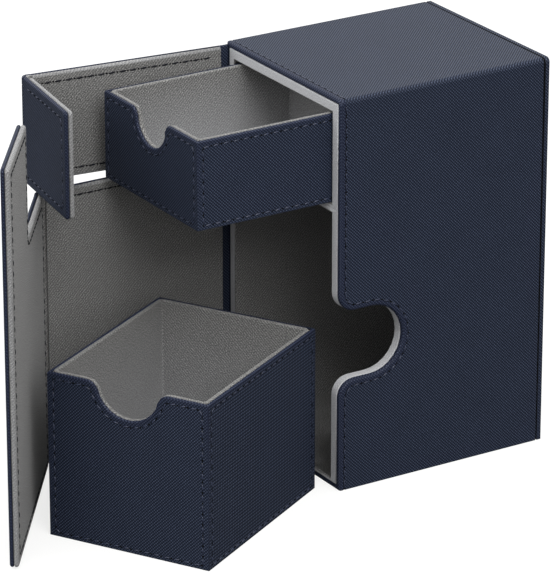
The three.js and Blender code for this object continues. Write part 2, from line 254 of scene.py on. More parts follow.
def paint_wear_and_highlight(bm, verts, worn_and_highlit):
    """Writes how much rim tone part of a surface takes: wear, and on lining also painted highlight."""
    for vert in verts:
        vert[bm.verts.layers.float["wear"]] = worn_and_highlit


def grow(bm, edges):
    """Extrudes edges and gives back the new vertices."""
    grown = bmesh.ops.extrude_edge_only(bm, edges=edges)["geom"]
    return [v for v in grown if isinstance(v, bmesh.types.BMVert)]


def open_skin(mouth, rest, run, outward):
    """The walls of an open box, grown from one wall along a run. The mouth's points follow the
    opening, and the rest close the wall."""
    bm = new_surface()
    verts = [bm.verts.new(p) for p in mouth + rest]
    wall = bm.faces.new(verts)
    closing = verts[len(mouth) - 1 :] + verts[:1]
    edges = [bm.edges.get(pair) for pair in zip(closing, closing[1:])]
    far = grow(bm, edges)
    opposite = [min(far, key=lambda f: (f.co - v.co).length) for v in closing]
    bmesh.ops.translate(bm, verts=far, vec=run)
    bm.faces.new(opposite)
    bmesh.ops.recalc_face_normals(bm, faces=bm.faces)
    if (wall.normal.dot(Vector(run)) > 0) == outward:
        bmesh.ops.reverse_faces(bm, faces=bm.faces)
    return bm


def round_edges(bm, edges, radius, segments):
    """Rounds edges over and gives back the new faces."""
    return bmesh.ops.bevel(
        bm,
        geom=[*verts_of(edges), *edges],
        offset=radius,
        offset_type="OFFSET",
        segments=segments,
        profile=0.5,
        affect="EDGES",
        clamp_overlap=True,
        material=-1,
    )["faces"]


def carry_edge(bm, distance):
    """Carries the open edge on behind its faces, by a distance that may depend on their normal,
    and gives back the edges that were open."""
    bm.normal_update()
    reach = distance if callable(distance) else lambda normal: distance
    edges = [e for e in bm.edges if e.is_boundary]
    moves = {}
    for vert in verts_of(edges):
        first, second = [e.link_faces[0].normal for e in vert.link_edges if e.is_boundary]
        step = first * reach(first) + second * reach(second)
        moves[vert] = -step / (1 + first.dot(second))
    for new in grow(bm, edges):
        old = next(e.other_vert(new) for e in new.link_edges if e.other_vert(new) in moves)
        new.co += moves[old]
    return edges


def roll_rim(bm, width, crown, foot, worn_and_highlit):
    """Rolls an open skin over its rim as a lobe: across by a width, then down into the seam. Its
    crown and foot are rounded by shares of the width."""
    for share, reach in ((crown, width), (foot, RIM_DROP)):
        rounded = round_edges(bm, carry_edge(bm, reach), width * share, RIM_SEGMENTS)
        paint_wear_and_highlight(bm, verts_of(rounded), worn_and_highlit)


def creases_of(bm, low, high, mouth):
    """The convex edges along the corners of a box, also where they run on over a rolled rim.
    The mouth is the number of the axis that the opening faces: forwards or up."""

    def at_corner(vert):
        sides = [min(vert.co[i] - low[i], high[i] - vert.co[i]) for i in range(3)]
        sides[mouth] = high.y - vert.co.y if mouth == 1 else vert.co.z - low.z
        sides.sort()
        return sides[1] - sides[0] < CLOSE / 10

    edges = [e for e in bm.edges if e.is_manifold and e.is_convex]
    sharp = [e for e in edges if e.calc_face_angle() > SHARP_ANGLE]
    return [e for e in sharp if all(at_corner(v) for v in e.verts)]


def cut_across(bm, axis, place, **settings):
    """Cuts a whole mesh at a distance along an axis."""
    geom = bm.verts[:] + bm.edges[:] + bm.faces[:]
    plane = {"plane_co": Vector(axis) * place, "plane_no": axis}
    bmesh.ops.bisect_plane(bm, geom=geom, dist=SAME_PLACE, **plane, **settings)


def press_line(bm, face, hem, half_width, depth):
    """Presses a stitch line into one face and gives back the line."""
    for thickness, lift in ((hem - half_width, 0), (half_width, -depth), (half_width, depth)):
        if lift > 0:
            line = [(v.co.copy(), face.normal.copy()) for v in face.verts]
        made = {"thickness": thickness, "depth": lift, "use_even_offset": True}
        bmesh.ops.inset_individual(bm, faces=[face], **made)
    return line + line[:1]


def lay_weave(bm, fronts=-1, level_sides=False):
    """Writes where each face lies on its cloth, in metres across and up. The sign turns the ribs'
    lean on front and back walls. On side walls the ribs can be made to run level."""
    bm.normal_update()
    layer = bm.loops.layers.uv.new("weave")
    for face in bm.faces:
        side = max(range(3), key=lambda i: abs(face.normal[i]))
        sign = math.copysign(1, face.normal[side])
        for loop in face.loops:
            x, y, z = loop.vert.co
            along = -sign * y
            wall = ((along - z) / 2, (along + z) / 2) if level_sides else (along, z)
            loop[layer].uv = (wall, (fronts * sign * x, z), (-sign * x, y))[side]


def make_piece(bm, name, materials):
    """Turns a finished mesh into an object at the origin."""
    mesh = bpy.data.meshes.new(name)
    bm.to_mesh(mesh)
    bm.free()
    for material in materials:
        mesh.materials.append(material)
    mesh.shade_smooth()
    piece = bpy.data.objects.new(name, mesh)
    bpy.context.scene.collection.objects.link(piece)
    return piece


def make_cover(bm, name, slot, nodes, shade_finishes=(), skin=True):
    """Makes the leather or lining that shows in place of some nodes. Its large faces set the
    shading, not its rounded edges. A skin gets its thickness on the side that doesn't show."""
    # Further materials, such as the painted shade of a seam, follow the cover's own finish
    piece = make_piece(bm, name, [COVER_FINISHES[slot](), *shade_finishes])
    weighted = piece.modifiers.new("Even shading", "WEIGHTED_NORMAL")
    weighted.weight = 100
    weighted.keep_sharp = True
    if skin:
        solid = piece.modifiers.new("Thickness", "SOLIDIFY")
        solid.thickness = SKIN_THICKNESS
        solid.offset = -1
    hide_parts(*nodes)
    return piece


# Materials

# Sizes of the cloths' broad patterns: ribs that drift, and lighter and darker patches
DRIFT_SIZE = 5 * MM
PATCH_SIZE = 14 * MM


def add_node(tree, kind, inputs=None, **settings):
    """Adds a shader node with its settings. Each input is set, or linked to a socket or node."""
    made = tree.nodes.new("ShaderNode" + kind)
    for name, value in settings.items():
        setattr(made, name, value)
    for key, value in (inputs or {}).items():
        if isinstance(value, bpy.types.Node):
            value = next(s for s in value.outputs if s.enabled)
        if isinstance(value, bpy.types.NodeSocket):
            tree.links.new(value, made.inputs[key])
        else:
            made.inputs[key].default_value = value
    return made


def material_and_tree(name):
    """A material and its nodes, of which a new material has none yet."""
    material = bpy.data.materials.get(name)
    if not material:
        material = bpy.data.materials.new(name)
        material.use_nodes = True
        material.node_tree.nodes.clear()
    return material, material.node_tree


def wave(tree, place, pitch, drift, sharpness):
    """Ribs across a place on the cloth, from 0 in their valleys to 1 on their crests."""
    turns = 2 * math.pi / (pitch * math.sqrt(2))
    turned = add_node(tree, "Math", {0: place, 1: turns, 2: drift}, operation="MULTIPLY_ADD")
    rib = add_node(tree, "Math", {0: turned}, operation="SINE")
    even = add_node(tree, "MapRange", {"Value": rib, "From Min": -1.0})
    return add_node(tree, "Math", {0: even, 1: sharpness}, operation="POWER")


def ribs(tree, pitch, wander, sharpness, crossing, depth, grain_size, grain_depth):
    """Height of diagonal ribs with grain, from 0 to 1, notched by ribs that cross them."""
    weave = add_node(tree, "UVMap", uv_map="weave")
    parts = add_node(tree, "SeparateXYZ", {"Vector": weave}).outputs
    drift = add_node(tree, "TexNoise", {"Vector": weave, "Scale": 1 / DRIFT_SIZE, "Detail": 2.0})
    drifted = add_node(tree, "Math", {0: drift, 1: wander}, operation="MULTIPLY")
    across_and_up = {0: parts["X"], 1: parts["Y"]}
    rising = add_node(tree, "Math", across_and_up, operation="ADD")
    falling = add_node(tree, "Math", across_and_up, operation="SUBTRACT")
    height = wave(tree, falling if crossing else rising, pitch, drifted, sharpness)
    if crossing:
        across = wave(tree, rising, pitch, drifted, sharpness)
        notched = add_node(tree, "MapRange", {"Value": across, "To Min": 1 - crossing})
        height = add_node(tree, "Math", {0: height, 1: notched}, operation="MULTIPLY")
    height = add_node(tree, "MapRange", {"Value": height, "To Min": 1 - depth})
    grain = add_node(tree, "TexNoise", {"Vector": weave, "Scale": 1 / grain_size, "Detail": 3.0})
    ends = {"From Min": 0.36, "From Max": 0.64, "To Min": 1 - grain_depth}
    rough = add_node(tree, "MapRange", {"Value": grain, **ends})
    return add_node(tree, "Math", {0: height, 1: rough}, operation="MULTIPLY")


def cloth_shader(tree, height, crest, valley, rim, rim_share, relief, roughness, shine, sheen):
    """A ribbed cloth: colour and shine between valley and crest, broad patches, rims and relief."""
    weave = add_node(tree, "UVMap", uv_map="weave")
    ends = {"Factor": height, "A": (*valley, 1), "B": (*crest, 1)}
    base = add_node(tree, "Mix", ends, data_type="RGBA")
    patches = add_node(tree, "TexNoise", {"Vector": weave, "Scale": 1 / PATCH_SIZE, "Detail": 3.0})
    shade = add_node(tree, "MapRange", {"Value": patches, "To Min": 0.9, "To Max": 1.1})
    mottled = add_node(tree, "VectorMath", {0: base, "Scale": shade}, operation="SCALE")
    # Rims take a tone of their own: wear on pressed leather, and on lining partly wear, partly painted
    # highlight
    wear = add_node(tree, "Attribute", attribute_name="wear").outputs["Fac"]
    ends = {"To Min": 0.75 * rim_share, "To Max": 1.3 * rim_share}
    reach = add_node(tree, "MapRange", {"Value": height, **ends})
    share = add_node(tree, "Math", {0: wear, 1: reach}, operation="MULTIPLY")
    ends = {"Factor": share, "A": mottled, "B": (*rim, 1)}
    worn_and_highlit = add_node(tree, "Mix", ends, data_type="RGBA")
    bump = add_node(tree, "Bump", {"Height": height, "Distance": relief, "Strength": 0.6})
    gloss = add_node(tree, "MapRange", {"Value": height, "To Min": shine / 10, "To Max": shine})
    finish = {"Base Color": worn_and_highlit, "Roughness": roughness, "Specular IOR Level": gloss}
    finish |= {"Normal": bump, "Sheen Weight": sheen, "Sheen Roughness": 0.5}
    shader = add_node(tree, "BsdfPrincipled", finish)
    add_node(tree, "OutputMaterial", {"Surface": shader})


def cloth(name, tones, weave, **finish):
    """A ribbed cloth's material, made when it is first asked for."""
    material, tree = material_and_tree(name)
    if not len(tree.nodes):
        cloth_shader(tree, ribs(tree, **weave), *tones, **finish)
    return material


def leatherette():
    """Polyurethane leather, embossed with a fine diagonal rib: a satin navy that catches light on
    the crests and stays dark between them."""
    look = chosen("finishes")
    tones = look.leather_crest, look.leather_valley, look.leather_hem
    weave = {"pitch": look.rib_pitch, "wander": 1.5, "sharpness": 1.6, "crossing": 0.85}
    # The real grain of about 0.1 mm is too fine to show, so it is drawn coarser
    weave |= {"depth": 1.0, "grain_size": 0.35 * MM, "grain_depth": 0.4}
    satin = {"relief": 0.1 * MM, "roughness": 0.5, "shine": 0.5, "sheen": 0.0}
    return cloth("Leatherette", tones, weave, rim_share=0.3, **satin)


def suede_lining():
    """Brushed polyester suede with a twill ground: matt grey, fuzzy; rims lighter by wear and painted
    highlight.
    """
    look = chosen("finishes")
    tones = look.lining_crest, look.lining_valley, look.lining_rim_and_highlight
    weave = {"pitch": look.twill_pitch, "wander": 5.0, "sharpness": 1.0, "crossing": 0.0}
    # The real nap, less than 0.1 mm thick, is too fine to show, so it is drawn coarser
    weave |= {"depth": 0.62, "grain_size": 0.36 * MM, "grain_depth": 1.0}
    fuzzy = {"relief": 0.08 * MM, "roughness": 0.92, "shine": 0.3, "sheen": 0.1}
    return cloth("Suede lining", tones, weave, rim_share=0.75, **fuzzy)


COVER_FINISHES = {"navy_leather": leatherette, "grey_lining": suede_lining}


def speckled(name, size, dark, light, roughness, shine, detail=2.0, relief=0.0):
    """A material with fine specks of a size between a dark and a light colour."""
    material, tree = material_and_tree(name)
    if len(tree.nodes):
        return material
    place = add_node(tree, "TexCoord").outputs["Object"]
    specks = add_node(tree, "TexNoise", {"Vector": place, "Scale": 1 / size, "Detail": detail})
    ends = {"Factor": specks, "A": (*dark, 1), "B": (*light, 1)}
    tint = add_node(tree, "Mix", ends, data_type="RGBA")
    finish = {"Base Color": tint, "Roughness": roughness, "Specular IOR Level": shine}
    if relief:
        finish["Normal"] = add_node(tree, "Bump", {"Height": specks, "Distance": relief})
    shader = add_node(tree, "BsdfPrincipled", finish)
    add_node(tree, "OutputMaterial", {"Surface": shader})
    return material


def sewing_thread(name, colour, shine):
    """Bonded polyester thread: dark, and glossier than the leather where it shows outside. Its
    strands, of about 0.1 mm, are drawn coarser, so that they show."""
    return speckled(name, 0.3 * MM, linear("#0b0d14"), colour, roughness=0.35, shine=shine)


def painted_shade():
    """Painted shade in needle holes, under stitches and in the back seam, with a little dust in it."""
    dark, dust = linear("#020203"), linear("#07080a")
    return speckled("Dark gap", 0.4 * MM, dark, dust, roughness=0.9, shine=0.1)


def grey_board(colour):
    """Bookbinding board: pressed grey fibres, matt."""
    fibre, relief = linear("#7d776c"), 0.1 * MM
    return speckled("Grey board", 0.8 * MM, fibre, colour, 0.9, 0.5, detail=6.0, relief=relief)


def nickel_plate(colour):
    """Nickel-plated magnet: bright metal with fine handling scratches."""
    material, tree = material_and_tree("Nickel plate")
    place = add_node(tree, "TexCoord").outputs["Object"]
    pattern = {"Vector": place, "Scale": 1 / (0.5 * MM), "Detail": 4.0}
    scratches = add_node(tree, "TexNoise", pattern)
    rough = add_node(tree, "MapRange", {"Value": scratches, "To Min": 0.2, "To Max": 0.4})
    finish = {"Base Color": (*colour, 1), "Metallic": 1.0, "Roughness": rough}
    shader = add_node(tree, "BsdfPrincipled", finish)
    add_node(tree, "OutputMaterial", {"Surface": shader})
    return material


# Stitching


def square_to(vector, other):
    """The direction of a vector's part that is square to another vector."""
    return (vector - other * vector.dot(other)).normalized()


def parts_of(line, keep):
    """The stretches of a line that pass a test, found at close intervals along it."""
    fine = []
    for (start, normal), (end, other) in zip(line, line[1:]):
        outward = square_to(normal + other, (end - start).normalized())
        count = math.ceil((end - start).length / CLOSE)
        fine += [(start.lerp(end, i / count), outward) for i in range(count)]
    fine.append((line[-1][0], fine[-1][1]))
    runs = [list(run) for kept, run in groupby(fine, lambda spot: keep(spot[0])) if kept]
    return [run for run in runs if len(run) > 1]


def place_on(line, reach):
    """The point at a distance along a line, and the normal there."""
    for (start, normal), (end, _) in zip(line, line[1:]):
        span = (end - start).length
        if reach < span:
            return start.lerp(end, reach / span), normal
        reach -= span
    return line[-1]


def beads(name, *sizes):
    """A small mesh of flat beads within each other, each with its length, width, height and
    material."""
    bm = bmesh.new()
    for long, wide, high, finish in sizes:
        place = Matrix.Diagonal((long / 2, wide / 2, high / 2, 1))
        made = bmesh.ops.create_uvsphere(bm, u_segments=6, v_segments=4, radius=1, matrix=place)
        for face in {f for v in made["verts"] for f in v.link_faces}:
            face.material_index = finish
    mesh = bpy.data.meshes.new(name)
    bm.to_mesh(mesh)
    bm.free()
    return mesh


def set_bead(bm, bead, centre, ahead, normal):
    """Sets a copy of a bead at a point, lying along a direction."""
    turned = Matrix((ahead, normal.cross(ahead), normal)).transposed().to_4x4()
    copy = bead.copy()
    copy.transform(Matrix.Translation(centre) @ turned)
    bm.from_mesh(copy)
    bpy.data.meshes.remove(copy)


def sew(bm, line, stitch_bead, hole_bead):
    """Sews stitches and their needle holes along a line."""
    size = chosen("stitches")
    total = sum((b[0] - a[0]).length for a, b in zip(line, line[1:]))
    count = max(1, round(total / size.pitch))
    pitch = total / count
    for i in range(count):
        first, _ = place_on(line, (i + 0.5) * pitch - size.stitch / 2)
        last, _ = place_on(line, (i + 0.5) * pitch + size.stitch / 2)
        centre, normal = place_on(line, (i + 0.5) * pitch)
        ahead = square_to(last - first, normal)
        turned = Matrix.Rotation(size.slant, 3, normal) @ ahead
        set_bead(bm, stitch_bead, (first + last) / 2, turned, normal)
        hole, normal = place_on(line, i * pitch)
        set_bead(bm, hole_bead, hole, square_to(ahead, normal), normal)


def make_stitching(name, body, lines, place=None, on_lining=False):
    """One body's stitches, as one piece."""
    look, size = chosen("finishes"), chosen("stitches")
    thread, thickness = sewing_thread("Sewing thread", look.thread, 0.5), size.thread
    # The darker bobbin thread on the lining is partly painted shade
    if on_lining:
        thread, thickness = sewing_thread("Bobbin thread", look.bobbin, 0.1), size.bobbin
    # A flat dark bead of painted shade lies under each stitch, and one sits in each needle hole
    painted_stitch_shade = (size.stitch * 1.2, size.painted_stitch_shade, size.painted_stitch_shade / 4, 1)
    stitch_bead = beads("stitch", (size.stitch, thickness, thickness, 0), painted_stitch_shade)
    hole_bead = beads("needle hole", (size.hole, size.hole, size.hole / 2, 1))
    bm = bmesh.new()
    for line in lines:
        sew(bm, line, stitch_bead, hole_bead)
    for bead in (stitch_bead, hole_bead):
        bpy.data.meshes.remove(bead)
    bm.transform(place or Matrix.Identity(4))
    piece = make_piece(bm, name, [thread, painted_shade()])
    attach(piece, body)


# Case


def notch_mouth(x, low, high):
    """The front edge of the right wall, from low to high, with the thumb notch in it."""
    size = chosen("case")
    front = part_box("case_leather")[0].y
    edge = scoop(size.notch_radius, size.notch_depth, size.notch_lip)
    notch = [(x, front - up, size.notch_level + across) for across, up in edge]
    return [(x, front, low), *notch, (x, front, high)]


class CARDBOX_OT_case_leather(bpy.types.Operator):
    """Covers the case in leather, hemmed and stitched round its opening and the thumb notch"""

    bl_idname = "card_box.case_leather"
    bl_label = "Case leather"

    def execute(self, context):
        size, stitch = chosen("case"), chosen("stitches")
        low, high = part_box("case_leather")
        mouth = notch_mouth(high.x, low.z, high.z)
        rest = [(high.x, high.y, high.z), (high.x, high.y, low.z)]
        bm = open_skin(mouth, rest, (low.x - high.x, 0, 0), outward=True)
        banded = bm.faces.layers.int.new("banded")
        half = stitch.groove

        def inset(thickness, depth):
            """A band round the face inside the last band."""
            field = [f for f in bm.faces if not f[banded]]
            made = {"thickness": thickness, "depth": depth, "use_even_offset": True}
            band = bmesh.ops.inset_region(bm, faces=field, use_boundary=True, **made)["faces"]
            for face in band:
                face[banded] = 1
            return band

        outer_band = inset(size.hem - half, 0)
        line = self.inner_line(outer_band, inset(half, -stitch.valley))
        paint_wear_and_highlight(bm, verts_of(outer_band), PRESSED)
        inset(half, stitch.valley)
        self.press_back_seam(bm, low, high)
        roll_rim(bm, size.rim, crown=0.5, foot=0.3, worn_and_highlit=PRESSED)
        creases = creases_of(bm, low, high, mouth=1)
        soft = [e for e in creases if all((v.co - high).xz.length < 2 * size.rim for v in e.verts)]
        round_edges(bm, soft, size.corner, CORNER_SEGMENTS)
        back = max(bm.faces, key=lambda f: f.normal.y * f.calc_area())
        sharp = set(creases_of(bm, low, high, mouth=1)) | set(back.edges)
        round_edges(bm, sharp, size.crease, RIM_SEGMENTS)
        lay_weave(bm)
        piece = make_cover(bm, "case_leather_cover", "navy_leather", ["case_leather"], [painted_shade()])
        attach(piece, "case")
        side, top = high.x - size.corner, high.z - size.corner
        foot = low.z + size.crease
        stretches = parts_of(line, lambda p: p.z > foot and (abs(p.x) < side or p.z < top))
        make_stitching("case_stitching", "case", stretches)
        return {"FINISHED"}

    def press_back_seam(self, bm, low, high):
        """Presses in the seam where the back cover meets the case, and paints its groove with shade."""
        size = chosen("case")
        cover, depth = high.y - size.back_cover, size.back_seam
        middle = cover - depth / 2
        for place in (cover, middle, cover - depth):
            cut_across(bm, (0, 1, 0), place)
        for vert in bm.verts:
            if abs(vert.co.y - middle) < CLOSE / 100:
                vert.co.x = min(max(vert.co.x, low.x + depth), high.x - depth)
                vert.co.z = min(max(vert.co.z, low.z + depth), high.z - depth)
        # The groove's faces take the second material, painted shade for the dark of the open seam
        for face in bm.faces:
            face.material_index = int(abs(face.calc_center_median().y - middle) < depth / 2)

    def inner_line(self, outer_band, band):
        """The points on a band's inner side, in order, with their normals."""
        inner = verts_of(band) - verts_of(outer_band)
        start = min(inner, key=lambda v: (v.co.z, v.co.x))
        line, vert, before = [], start, None
        while vert is not None:
            line.append((vert.co.copy(), vert.normal.copy()))
            beside = [e.other_vert(vert) for e in vert.link_edges if e.other_vert(vert) in inner]
            onward = [v for v in beside if v is not before and v is not start]
            before, vert = vert, (onward[0] if onward and len(line) < len(inner) else None)
        return line + line[:1]


class CARDBOX_OT_case_linings(bpy.types.Operator):
    """Lines both compartments and carries the lining over the front edges of the boards"""

    bl_idname = "card_box.case_linings"
    bl_label = "Compartment linings"

    # Roundings of the lining, its drop into the seam, and its turn out onto the boards' edges
    MOUTH_RADIUS = 0.5 * MM
    INNER_RADIUS = 0.7 * MM
    OUTER_RADIUS = 0.35 * MM
    DROP = 0.6 * MM
    TURN = 0.4 * MM

    def execute(self, context):
        size = chosen("case")
        low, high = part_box("case_leather")
        shelf_low, shelf_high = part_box("shelf_board")
        shelf_middle = (shelf_low.z + shelf_high.z) / 2
        right, back = high.x - size.wall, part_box("case_back_board")[0].y - LINING_SPACE
        across = (low.x + size.wall - right, 0, 0)
        half_shelf = size.shelf / 2
        ceiling, shelf_top = shelf_middle - half_shelf, shelf_middle + half_shelf
        floor_top, top = low.z + size.floor, high.z - size.wall
        side, below_floor = [part - size.rim - SEAM / 2 for part in (size.wall, size.floor)]
        straight = [(right, low.y, shelf_top), (right, low.y, top)]
        notched = notch_mouth(right, floor_top, ceiling)
        for name, mouth, ends, below, above in (
            ("lower_compartment_lining", notched, (ceiling, floor_top), below_floor, half_shelf),
            ("upper_compartment_lining", straight, (top, shelf_top), half_shelf, side),
        ):
            rest = [(right, back, level) for level in ends]
            bm = open_skin(mouth, rest, across, outward=False)

            def reach(normal):
                if abs(normal.z) < 0.5:
                    return side
                return below if normal.z > 0 else above

            inner_edges = [e for e in bm.edges if not e.is_boundary]
            mouth_edges = carry_edge(bm, reach)
            seam_edges = carry_edge(bm, self.DROP)
            round_edges(bm, mouth_edges, self.MOUTH_RADIUS, RIM_SEGMENTS)
            inner_edges = [e for e in inner_edges if e.is_valid]
            round_edges(bm, inner_edges, self.INNER_RADIUS, INNER_SEGMENTS)
            # Along the shelf's front the linings meet with no groove between them
            outer = [e for e in seam_edges if e.is_valid]
            outer = [e for e in outer if any(abs(v.co.z - shelf_middle) > CLOSE for v in e.verts)]
            round_edges(bm, outer, self.OUTER_RADIUS, INNER_SEGMENTS)
            left, foot = low.x + size.wall - self.TURN, min(ends) - self.TURN
            ahead, head = right + self.TURN, max(ends) + self.TURN
            inside = {v for v in bm.verts if left <= v.co.x <= ahead and foot < v.co.z < head}
            # Lining turned out over the boards' edges takes the full rim tone: stretch and painted highlight
            paint_wear_and_highlight(bm, set(bm.verts) - inside, 1.0)
            lay_weave(bm)
            piece = make_cover(bm, name + "_cloth", "grey_lining", [name])
            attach(piece, "case")
        return {"FINISHED"}


# Drawer and card tray

TRAY_INNER_RADIUS = 0.6 * MM


def make_tray(body):
    """A tray's leather outside, lining and stitches, with a scoop in its front rim."""
    size, stitch = chosen("trays"), chosen("stitches")
    edge = scoop(*(getattr(size, f"{body}_{measure}") for measure in ("radius", "depth", "lip")))
    low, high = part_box("drawer_leather")
    half_width, half_depth = (high.x - low.x) / 2, (high.y - low.y) / 2
    low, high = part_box(body + "_leather")
    height, middle = high.z - low.z, (low + high) / 2
    slide = joint_of(body)["axis"]
    turn = Matrix.Rotation(math.atan2(-slide[0], slide[1]), 4, "Z")
    place = Matrix.Translation((middle.x, middle.y, low.z)) @ turn

    def front_wall(inset, floor, outward):
        x, y = half_width - inset, inset - half_depth
        rim = [(across, y, height + up) for across, up in edge]
        mouth = [(-x, y, height), *rim, (x, y, height)]
        return open_skin(mouth, [(x, y, floor), (-x, y, floor)], (0, -2 * y, 0), outward)

    bm = front_wall(0, 0, True)
    bm.normal_update()
    walls = [f for f in bm.faces if abs(f.normal.z) < 0.5]
    lines = [press_line(bm, wall, size.hem, stitch.groove, stitch.valley) for wall in walls]
    near_foot = [v.co for v in bm.verts] + [point for line in lines for point, _ in line[:-1]]
    for point in near_foot:
        if stitch.groove < point.z < 2 * size.hem:
            point.z -= size.hem - size.foot_hem
    roll_rim(bm, size.leather, crown=0.6, foot=0.35, worn_and_highlit=PRESSED)
    corner = Vector((half_width, half_depth, height))
    creases = creases_of(bm, Vector((-half_width, -half_depth, 0)), corner, mouth=2)
    round_edges(bm, creases, size.corner, CORNER_SEGMENTS)
    lay_weave(bm, level_sides=body == "card_tray")
    bm.transform(place)
    piece = make_cover(bm, body + "_leather_cover", "navy_leather", [body + "_leather"])
    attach(piece, body)
    make_stitching(body + "_stitching", body, lines, place)

    bm = front_wall(size.wall, size.floor, False)
    inner_edges = [e for e in bm.edges if not e.is_boundary]
    round_edges(bm, inner_edges, TRAY_INNER_RADIUS, INNER_SEGMENTS)
    paint_wear_and_highlight(bm, bm.verts, 2 * STRETCHED)
    roll_rim(bm, size.wall - size.leather - SEAM, crown=0.35, foot=0.25, worn_and_highlit=0.0)
    lay_weave(bm)
    bm.transform(place)
    piece = make_cover(bm, body + "_lining_cloth", "grey_lining", [body + "_lining"])
    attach(piece, body)


class CARDBOX_OT_trays(bpy.types.Operator):
    """Covers, lines and stitches the drawer and the card tray"""

    bl_idname = "card_box.trays"
    bl_label = "Drawer and card tray"

    def execute(self, context):
        make_tray("drawer")
        make_tray("card_tray")
        return {"FINISHED"}


# Doors and flaps

# Roundings of a panel's edge, as shares of half its thickness
PANEL_CROWN = 0.6
PANEL_FOOT = 0.38

# How far the lining stands out of a panel's middle where it is creased
CREASE_LEVEL = 0.6 * MM


def pivot_of(body):
    return Vector(joint_of(body)["pos_m"])


def heading(start, end):
    """The angle, seen from above, from one point to another."""
    return math.atan2(end.y - start.y, end.x - start.x)


def hinge_place(body, turn):
    """The frame of a panel: its pivot, with X along the panel and the leather facing -Y."""
    return Matrix.Translation(pivot_of(body)) @ Matrix.Rotation(turn, 4, "Z")


def rectangle(left, right, low, high):
    return [(left, low), (right, low), (right, high), (left, high)]


def outline(corners, inset, radius):
    """A polygon of square corners, drawn in by an inset and with its corners rounded."""
    points = []
    around = [Vector(c) for c in corners]
    for before, here, after in zip(around[-1:] + around[:-1], around, around[1:] + around[:1]):
        arriving, leaving = (here - before).normalized(), (after - here).normalized()
        side = 1 if arriving.cross(leaving) > 0 else -1
        rounding = max(radius - side * inset, radius / 50)
        away = rounding + side * inset
        centre = here + (leaving - arriving) * away
        start = math.degrees(math.atan2(-arriving.x * side, arriving.y * side))
        points += arc(*centre, rounding, start, start + 90 * side)
    return points


def make_slab(corners, outer, seam, worn_and_highlit, cuts=(), stitched=True):
    """Half a panel: a plate from its outer face to the seam, its edges rounded to a lobe and a
    stitch line pressed in, cut square where a fold carries on. Gives back the mesh and the line."""
    size, stitch = chosen("panels"), chosen("stitches")
    inward = math.copysign(1, seam - outer)
    crown, foot = abs(seam - outer) * PANEL_CROWN, abs(seam - outer) * PANEL_FOOT
    steps = [math.radians(90 * i / RIM_SEGMENTS) for i in range(RIM_SEGMENTS + 1)]
    lobe = [(crown * (1 - math.sin(t)), outer + inward * crown * (1 - math.cos(t))) for t in steps]
    lobe += [(foot * (1 - math.cos(t)), seam - inward * foot * (1 - math.sin(t))) for t in steps]
    valley, groove = outer + inward * stitch.valley, stitch.groove
    line = []
    if stitched:
        line = [(size.hem + groove, outer), (size.hem, valley), (size.hem - groove, outer)]
    bm = new_surface()
    verts = []
    for ring, (inset, level) in enumerate(line + lobe):
        points = [(x, level, z) for x, z in outline(corners, inset, size.corner)]
        if verts:
            grown = set(bmesh.ops.extrude_edge_only(bm, edges=edges)["geom"])
            edges = [e for e in grown if isinstance(e, bmesh.types.BMEdge) and e.is_boundary]
            following = [{e.other_vert(v) for e in v.link_edges} & grown for v in verts]
            verts = [found.pop() for found in following]
            for vert, point in zip(verts, points):
                vert.co = point
        else:
            verts = [bm.verts.new(point) for point in points]
            edges = [bm.edges.new(pair) for pair in zip(verts, verts[1:] + verts[:1])]
            bmesh.ops.edgeloop_fill(bm, edges=edges)
        paint_wear_and_highlight(bm, verts, worn_and_highlit * (ring > len(line)))
    bmesh.ops.edgeloop_fill(bm, edges=edges)
    for place, side in cuts:
        cut_across(bm, (side, 0, 0), side * place, clear_outer=True)
    bmesh.ops.holes_fill(bm, edges=[e for e in bm.edges if e.is_boundary])
    bmesh.ops.recalc_face_normals(bm, faces=bm.faces)
    path = outline(corners, size.hem, size.corner)
    normal = Vector((0, -inward, 0))
    sewn = [(Vector((x, valley, z)), normal) for x, z in path]
    return bm, sewn + sewn[:1]


def bent(point, pivot_x, turn, reach):
    """A point of a flat slab after the slab is folded about a line at pivot_x."""
    share = min(max((point.x - pivot_x + reach) / (2 * reach), 0), 1)
    angle = turn * share * share * (3 - 2 * share)
    pivot = Vector((pivot_x, 0, 0))
    return Matrix.Rotation(angle, 3, "Z") @ (point - pivot) + pivot


def fold_slab(bm, pivot_x, bend, place, ends=True):
    """Slices a flat slab about a line at pivot_x, lays its weave, folds it and puts it in place."""
    reach = chosen("panels").fold_reach
    for i in range(0 if ends else 1, FOLD_SLICES + int(ends)):
        cut_across(bm, (1, 0, 0), pivot_x + reach * (2 * i / FOLD_SLICES - 1))
    lay_weave(bm, fronts=1)
    for vert in bm.verts:
        vert.co = bent(vert.co, pivot_x, bend, reach)
    bm.transform(place)


